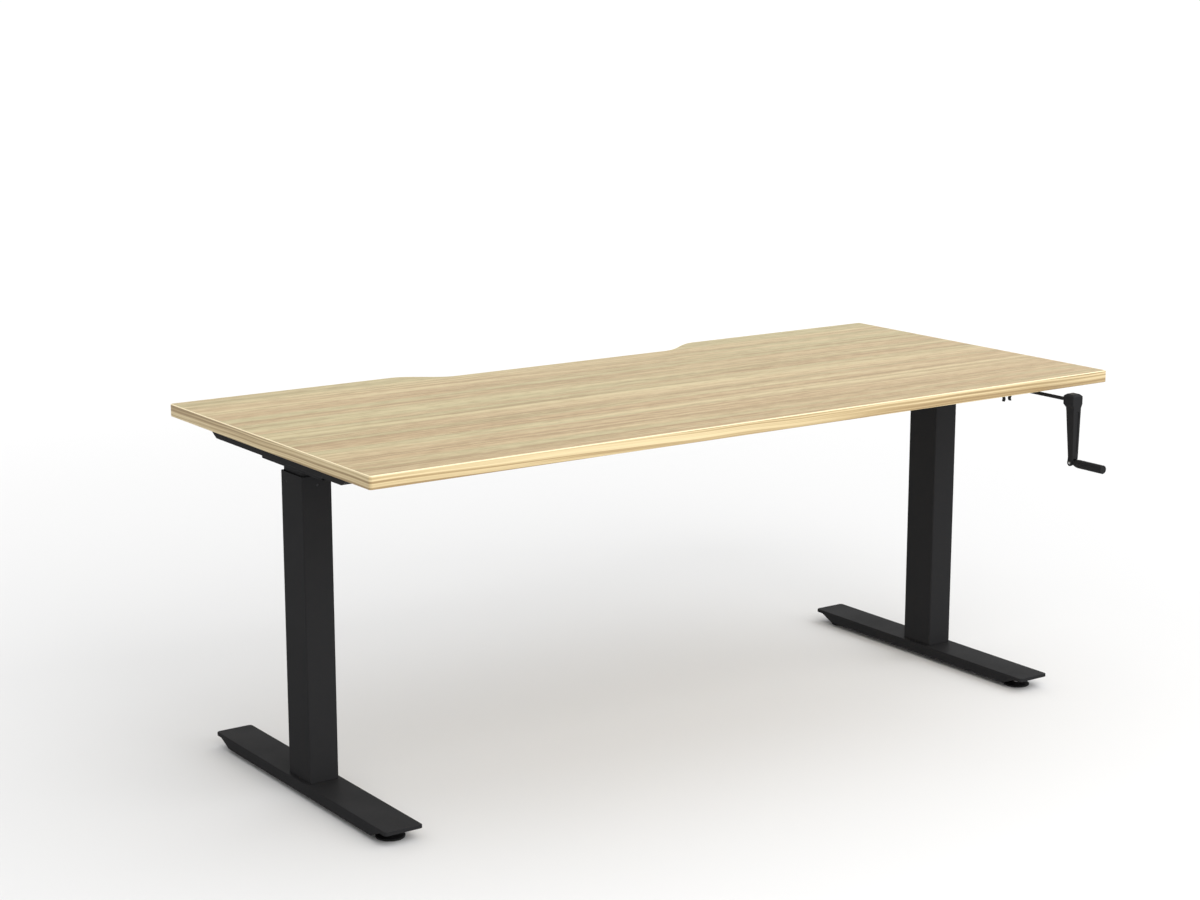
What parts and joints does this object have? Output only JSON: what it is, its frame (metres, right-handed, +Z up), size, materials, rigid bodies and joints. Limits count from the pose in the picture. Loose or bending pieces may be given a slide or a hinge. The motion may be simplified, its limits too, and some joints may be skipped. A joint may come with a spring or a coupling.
{
  "type": "height adjustable standing desk",
  "caption": "Crank-operated sit-stand desk: oak board with a rear cable scallop on telescopic T legs, with a fold-out crank handle at the front right.",
  "frame": {"origin": "on the floor, under the centre of the bounding box of the desk with its crank pulled out", "axes": "+X along the desktop to the user's right, +Y from the user to the rear edge, +Z up"},
  "size_m": [1.8, 0.9452, 0.715],
  "materials": {
    "oak_melamine": "matt oak melamine, straight grain along X",
    "oak_edge": "oak print edge band with lines along its length",
    "black_powder_coat": "fine textured satin black powder coat",
    "black_plastic": "moulded matt black plastic",
    "bright_steel": "zinc plated steel",
    "cast_zinc": "die cast, slightly rough",
    "brass": "machined"
  },
  "bodies": {
    "base": {"left_foot_beam": "black_powder_coat", "left_base_plate": "bright_steel", "left_outer_column": "black_powder_coat", "left_upper_glide": "black_plastic", "left_nut_tube": "bright_steel", "left_lift_nut": "brass", "right_foot_beam": "black_powder_coat", "right_base_plate": "bright_steel", "right_outer_column": "black_powder_coat", "right_upper_glide": "black_plastic", "right_nut_tube": "bright_steel", "right_lift_nut": "brass"},
    "top": {"desktop": "oak_melamine", "edge_band": "oak_edge", "front_cross_rail": "black_powder_coat", "rear_cross_rail": "black_powder_coat", "crank_gearbox_housing": "cast_zinc", "crank_gearbox_cover": "cast_zinc", "crank_guide": "black_plastic", "crank_clip": "black_plastic", "left_inner_column": "black_powder_coat", "left_lower_glide": "black_plastic", "left_screw_bearing": "cast_zinc", "left_head_channel": "black_powder_coat", "left_support_arm": "black_powder_coat", "left_gearbox_housing": "cast_zinc", "left_gearbox_cover": "cast_zinc", "right_inner_column": "black_powder_coat", "right_lower_glide": "black_plastic", "right_screw_bearing": "cast_zinc", "right_head_channel": "black_powder_coat", "right_support_arm": "black_powder_coat", "right_gearbox_housing": "cast_zinc", "right_gearbox_cover": "cast_zinc"},
    "left_screw": {"left_lead_screw": "bright_steel", "left_screw_bevel": "bright_steel"},
    "right_screw": {"right_lead_screw": "bright_steel", "right_screw_bevel": "bright_steel"},
    "shaft": {"cross_shaft": "bright_steel", "left_shaft_bevel": "bright_steel", "right_shaft_bevel": "bright_steel", "crank_shaft_bevel": "bright_steel"},
    "crank_drive": {"crank_socket": "bright_steel"},
    "crank_handle": {"crank_rod": "black_powder_coat", "crank_arm": "black_plastic", "grip_pivot_pin": "bright_steel"},
    "grip_holder": {"grip_spindle": "bright_steel"},
    "grip": {"grip_sleeve": "black_plastic"},
    "left_front_leveller": {"left_front_leveller_pad": "black_plastic", "left_front_leveller_stud": "bright_steel"},
    "left_rear_leveller": {"left_rear_leveller_pad": "black_plastic", "left_rear_leveller_stud": "bright_steel"},
    "right_front_leveller": {"right_front_leveller_pad": "black_plastic", "right_front_leveller_stud": "bright_steel"},
    "right_rear_leveller": {"right_rear_leveller_pad": "black_plastic", "right_rear_leveller_stud": "bright_steel"}
  },
  "joints": [
    {"name": "lift", "type": "slide", "parent": "base", "child": "top", "axis": [0, 0, 1], "range_m": [0, 0.45]},
    {"name": "crank_turn", "type": "hinge", "parent": "top", "child": "crank_drive", "pos_m": [0.745, 0.0976, 0.675], "axis": [0, 1, 0], "range_deg": [0, 10800]},
    {"name": "shaft_turn", "type": "hinge", "parent": "top", "child": "shaft", "pos_m": [0, 0.0976, 0.675], "axis": [-1, 0, 0], "range_deg": [0, 10800]},
    {"name": "left_screw_turn", "type": "hinge", "parent": "top", "child": "left_screw", "pos_m": [-0.7985, 0.0976, 0.675], "axis": [0, 0, -1], "range_deg": [0, 10800]},
    {"name": "right_screw_turn", "type": "hinge", "parent": "top", "child": "right_screw", "pos_m": [0.7985, 0.0976, 0.675], "axis": [0, 0, 1], "range_deg": [0, 10800]},
    {"name": "crank_push", "type": "slide", "parent": "crank_drive", "child": "crank_handle", "axis": [0, 1, 0], "range_m": [0, 0.07]},
    {"name": "grip_fold", "type": "hinge", "parent": "crank_handle", "child": "grip_holder", "pos_m": [0.745, -0.3846, 0.5434], "axis": [1, 0, 0], "range_deg": [0, 90]},
    {"name": "grip_spin", "type": "hinge", "parent": "grip_holder", "child": "grip", "pos_m": [0.745, -0.3846, 0.5434], "axis": [0, -1, 0], "continuous": true},
    {"name": "left_front_leveller_screw_out", "type": "slide", "parent": "base", "child": "left_front_leveller", "axis": [0, 0, -1], "range_m": [0, 0.008]},
    {"name": "left_rear_leveller_screw_out", "type": "slide", "parent": "base", "child": "left_rear_leveller", "axis": [0, 0, -1], "range_m": [0, 0.008]},
    {"name": "right_front_leveller_screw_out", "type": "slide", "parent": "base", "child": "right_front_leveller", "axis": [0, 0, -1], "range_m": [0, 0.008]},
    {"name": "right_rear_leveller_screw_out", "type": "slide", "parent": "base", "child": "right_rear_leveller", "axis": [0, 0, -1], "range_m": [0, 0.008]}
  ],
  "couplings": [
    {"joint": "crank_turn", "follows": "lift", "rad_per_m": 418.88},
    {"joint": "shaft_turn", "follows": "lift", "rad_per_m": 418.88},
    {"joint": "left_screw_turn", "follows": "lift", "rad_per_m": 418.88},
    {"joint": "right_screw_turn", "follows": "lift", "rad_per_m": 418.88}
  ]
}
